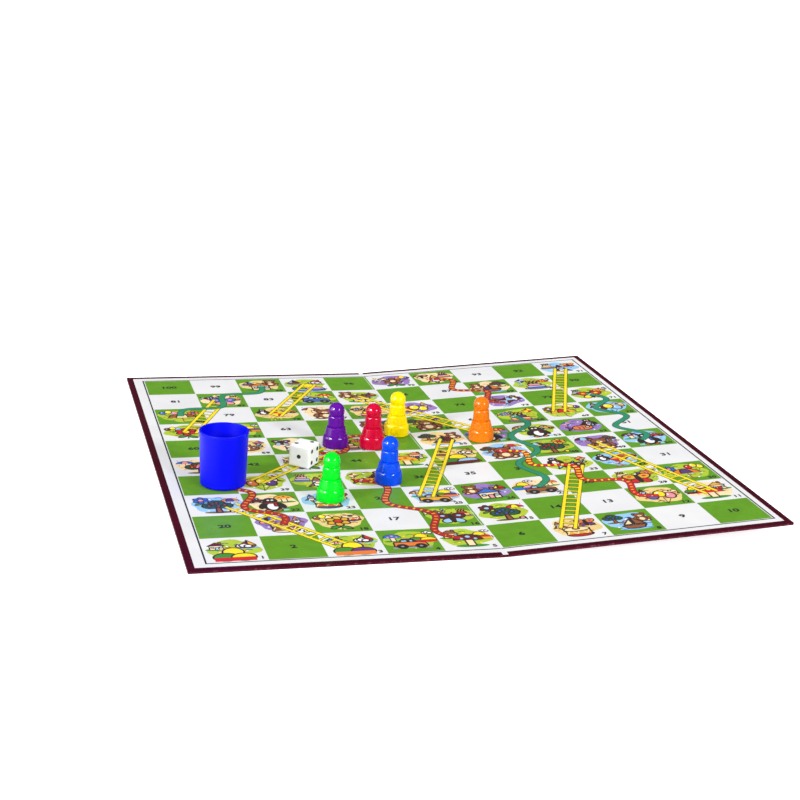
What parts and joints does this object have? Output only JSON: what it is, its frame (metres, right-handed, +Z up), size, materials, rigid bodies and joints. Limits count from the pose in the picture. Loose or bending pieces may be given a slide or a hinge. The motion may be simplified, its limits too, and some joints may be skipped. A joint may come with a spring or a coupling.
{
  "type": "folding snakes and ladders board",
  "caption": "Square folding game board printed with snakes and ladders, standing open with its pawns, die and shaker cup.",
  "frame": {"origin": "on the surface the board lies on, under the middle of the fold", "axes": "+X towards the right leaf, +Y towards the far side of the board, +Z up"},
  "size_m": [0.3597, 0.36, 0.0368],
  "materials": {
    "grey_board": "plain grey board",
    "cover_paper": "maroon grained paper",
    "printed_paper": "printed, glossy",
    "green_pawn_plastic": "moulded, glossy",
    "blue_pawn_plastic": "moulded, glossy",
    "purple_pawn_plastic": "moulded, glossy",
    "red_pawn_plastic": "moulded, glossy",
    "yellow_pawn_plastic": "moulded, glossy",
    "orange_pawn_plastic": "moulded, glossy",
    "die_plastic": "moulded, glossy",
    "shaker_cup_plastic": "moulded, glossy"
  },
  "bodies": {
    "left_leaf": {"left_core_board": "grey_board", "left_cover": "cover_paper", "left_playing_sheet": "printed_paper"},
    "right_leaf": {"right_core_board": "grey_board", "right_cover": "cover_paper", "right_playing_sheet": "printed_paper"},
    "green_pawn": {"green_pawn": "green_pawn_plastic"},
    "blue_pawn": {"blue_pawn": "blue_pawn_plastic"},
    "purple_pawn": {"purple_pawn": "purple_pawn_plastic"},
    "red_pawn": {"red_pawn": "red_pawn_plastic"},
    "yellow_pawn": {"yellow_pawn": "yellow_pawn_plastic"},
    "orange_pawn": {"orange_pawn": "orange_pawn_plastic"},
    "die": {"die": "die_plastic"},
    "shaker_cup": {"shaker_cup": "shaker_cup_plastic"}
  },
  "joints": [
    {"name": "board_fold", "type": "hinge", "parent": "left_leaf", "child": "right_leaf", "pos_m": [0, 0, 0.0016], "axis": [0, -1, 0], "range_deg": [-3.5, 84.8]},
    {"name": "green_pawn_lift", "type": "slide", "parent": "left_leaf", "child": "green_pawn", "axis": [0, 0, 1], "range_m": [0, 0.06]},
    {"name": "blue_pawn_lift", "type": "slide", "parent": "left_leaf", "child": "blue_pawn", "axis": [0, 0, 1], "range_m": [0, 0.06]},
    {"name": "purple_pawn_lift", "type": "slide", "parent": "left_leaf", "child": "purple_pawn", "axis": [0, 0, 1], "range_m": [0, 0.06]},
    {"name": "red_pawn_lift", "type": "slide", "parent": "left_leaf", "child": "red_pawn", "axis": [0, 0, 1], "range_m": [0, 0.06]},
    {"name": "yellow_pawn_lift", "type": "slide", "parent": "left_leaf", "child": "yellow_pawn", "axis": [0, 0, 1], "range_m": [0, 0.06]},
    {"name": "orange_pawn_lift", "type": "slide", "parent": "right_leaf", "child": "orange_pawn", "axis": [-0.061, 0, 0.9981], "range_m": [0, 0.06]},
    {"name": "die_lift", "type": "slide", "parent": "left_leaf", "child": "die", "axis": [0, 0, 1], "range_m": [0, 0.06]},
    {"name": "shaker_cup_lift", "type": "slide", "parent": "left_leaf", "child": "shaker_cup", "axis": [0, 0, 1], "range_m": [0, 0.06]}
  ]
}
